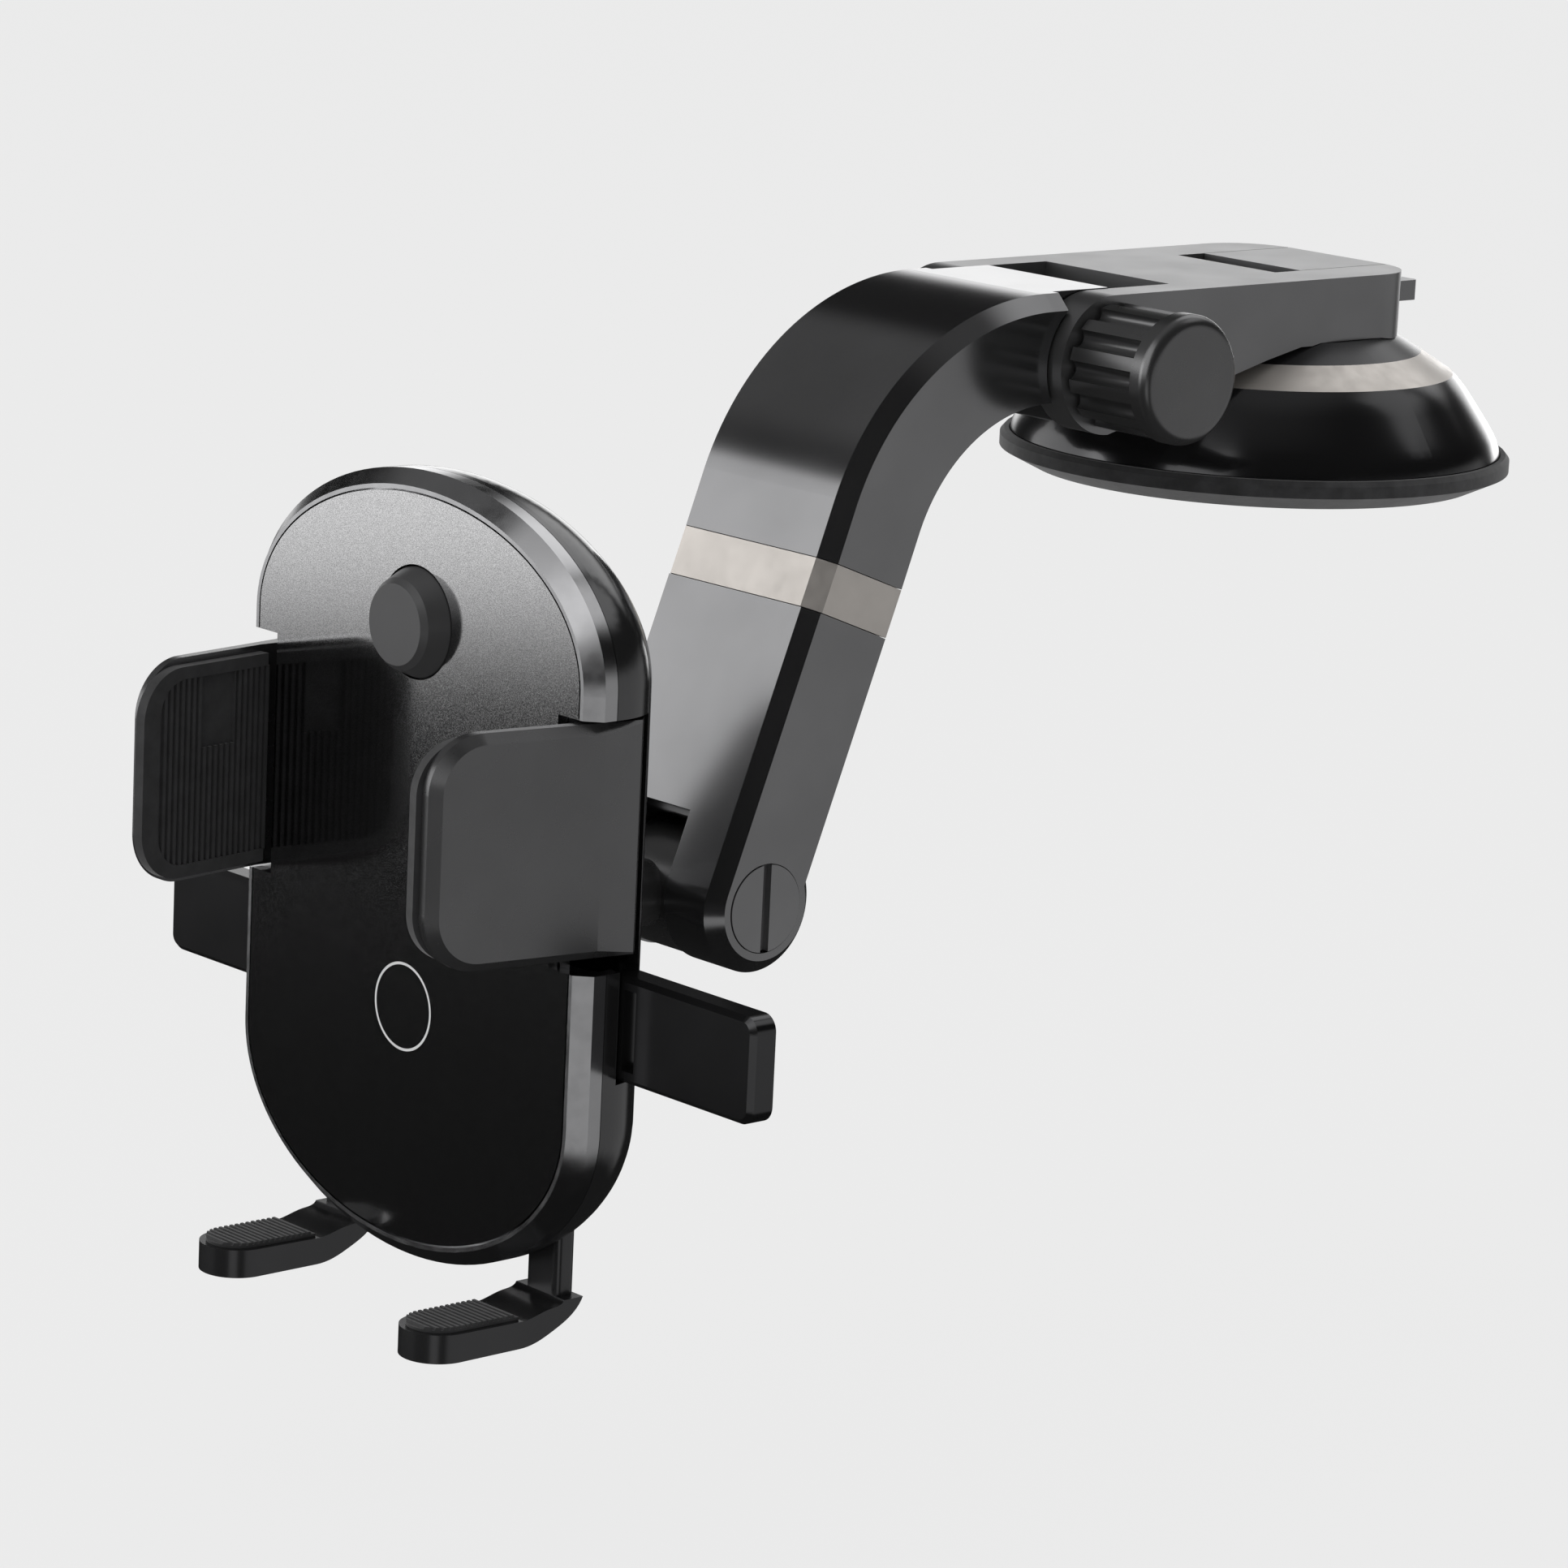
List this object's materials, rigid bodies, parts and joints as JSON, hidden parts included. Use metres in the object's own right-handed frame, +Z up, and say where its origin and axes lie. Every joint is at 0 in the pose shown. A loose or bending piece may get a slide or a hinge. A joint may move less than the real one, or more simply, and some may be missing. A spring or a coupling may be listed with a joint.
{
  "type": "car phone mount",
  "caption": "Suction-base car phone mount: curved arm, ball-jointed cradle with geared spring clamps, release bars, trigger button and sliding feet.",
  "frame": {"origin": "centre of the suction pad's underside", "axes": "+Z up out of the suction pad, -Y from the base towards the phone cradle's open face, +X towards the pivot knob"},
  "size_m": [0.124, 0.2164, 0.1314],
  "materials": {
    "pad_rubber": "matt black soft rubber with a fine dusty bloom",
    "dome_gloss": "high-gloss black",
    "champagne_trim": "satin champagne silver",
    "cap_black": "black, lightly textured",
    "bracket_satin": "satin dark grey",
    "arm_dark": "semi-gloss dark grey",
    "knob_black": "satin black",
    "disc_dark": "satin dark grey",
    "shell_black": "glossy black",
    "rim_gunmetal": "glossy gunmetal paint",
    "panel_dark": "fine-grained semi-gloss black",
    "emblem_grey": "thin grey ring print",
    "clamp_dark": "satin dark grey",
    "grip_rubber": "matt ribbed rubber",
    "bar_dark": "satin black",
    "button_dark": "grainy dark grey with a bright chamfer",
    "feet_black": "satin black",
    "foot_rubber": "matt ribbed rubber",
    "inner_plastic": "plain moulded nylon",
    "gear_white": "natural acetal",
    "steel": "plated steel",
    "spring_steel": "bright spring wire"
  },
  "bodies": {
    "base": {"suction_pad": "pad_rubber", "dome_housing": "dome_gloss", "trim_ring": "champagne_trim", "dome_cap": "cap_black", "bracket": "bracket_satin", "bracket_screws": "steel", "pivot_bolt": "steel", "pivot_nut": "steel"},
    "stem": {"pull_stem": "steel", "lift_disc": "inner_plastic", "lever_pin": "steel"},
    "lever": {"suction_lever": "bracket_satin"},
    "knob": {"pivot_knob": "knob_black"},
    "arm": {"upper_arm": "arm_dark", "arm_band": "champagne_trim", "lower_arm": "arm_dark", "arm_spigot": "inner_plastic", "tilt_bolt": "disc_dark", "tilt_nut": "steel"},
    "knuckle": {"ball_knuckle": "knob_black"},
    "cup": {"ball_cup": "inner_plastic"},
    "cradle": {"ball_socket": "shell_black", "back_shell": "shell_black", "front_frame": "rim_gunmetal", "front_panel": "panel_dark", "panel_emblem": "emblem_grey", "mechanism_plate": "inner_plastic", "pinion_shaft": "steel", "shell_screws": "steel", "button_spring": "spring_steel"},
    "nut": {"lock_nut": "knob_black"},
    "clamp_l": {"clamp_left": "clamp_dark", "clamp_pad_left": "grip_rubber"},
    "clamp_r": {"clamp_right": "clamp_dark", "clamp_pad_right": "grip_rubber"},
    "gear": {"pinion": "gear_white"},
    "bar_l": {"release_bar_left": "bar_dark"},
    "bar_r": {"release_bar_right": "bar_dark"},
    "trigger": {"button": "button_dark", "latch_pawl": "steel"},
    "feet": {"feet_slider": "feet_black", "foot_pad_left": "foot_rubber", "foot_pad_right": "foot_rubber"}
  },
  "joints": [
    {"name": "stem_drop", "type": "slide", "parent": "base", "child": "stem", "axis": [0, 0, -1], "range_m": [0, 0.00251]},
    {"name": "suction_lever_swing", "type": "hinge", "parent": "stem", "child": "lever", "pos_m": [0, 0, 0.027], "axis": [1, 0, 0], "range_deg": [0, 75]},
    {"name": "arm_tilt", "type": "hinge", "parent": "base", "child": "arm", "pos_m": [0, -0.0488, 0.0212], "axis": [1, 0, 0], "range_deg": [-33, 30]},
    {"name": "knob_turn", "type": "hinge", "parent": "base", "child": "knob", "pos_m": [0, -0.0488, 0.0212], "axis": [1, 0, 0], "continuous": true},
    {"name": "knuckle_tilt", "type": "hinge", "parent": "arm", "child": "knuckle", "pos_m": [0, -0.10668, -0.04981], "axis": [1, 0, 0], "range_deg": [-20, 60]},
    {"name": "ball_pan", "type": "hinge", "parent": "knuckle", "child": "cup", "pos_m": [0, -0.1323, -0.04981], "axis": [0, 0, 1], "range_deg": [-18, 18]},
    {"name": "ball_roll", "type": "hinge", "parent": "cup", "child": "cradle", "pos_m": [0, -0.1323, -0.04981], "axis": [0, 1, 0], "range_deg": [-180, 180]},
    {"name": "lock_nut_turn", "type": "hinge", "parent": "cradle", "child": "nut", "pos_m": [0, -0.1323, -0.04981], "axis": [0, 1, 0], "continuous": true},
    {"name": "clamp_left_slide", "type": "slide", "parent": "cradle", "child": "clamp_l", "axis": [-1, 0, 0], "range_m": [0, 0.016], "stiffness_N_per_m": 60},
    {"name": "clamp_right_slide", "type": "slide", "parent": "cradle", "child": "clamp_r", "axis": [1, 0, 0], "range_m": [0, 0.0161]},
    {"name": "pinion_turn", "type": "hinge", "parent": "cradle", "child": "gear", "pos_m": [0, -0.1492, -0.0314], "axis": [0, 1, 0], "range_deg": [0, 146]},
    {"name": "release_bar_left_slide", "type": "slide", "parent": "cradle", "child": "bar_l", "axis": [1, 0, 0], "range_m": [0, 0.0161]},
    {"name": "release_bar_right_slide", "type": "slide", "parent": "cradle", "child": "bar_r", "axis": [-1, 0, 0], "range_m": [0, 0.0161]},
    {"name": "button_press", "type": "slide", "parent": "cradle", "child": "trigger", "axis": [0, 1, 0], "range_m": [0, 0.0028], "stiffness_N_per_m": 400, "deforming": ["button_spring"]},
    {"name": "feet_slide", "type": "slide", "parent": "cradle", "child": "feet", "axis": [0, 0, -1], "range_m": [0, 0.01]}
  ],
  "couplings": [
    {"joint": "stem_drop", "follows": "suction_lever_swing", "m_per_rad": 0.0019099},
    {"joint": "pinion_turn", "follows": "clamp_left_slide", "rad_per_m": 158.73},
    {"joint": "clamp_right_slide", "follows": "clamp_left_slide", "ratio": 1},
    {"joint": "release_bar_left_slide", "follows": "clamp_left_slide", "ratio": 1},
    {"joint": "release_bar_right_slide", "follows": "clamp_left_slide", "ratio": 1}
  ]
}
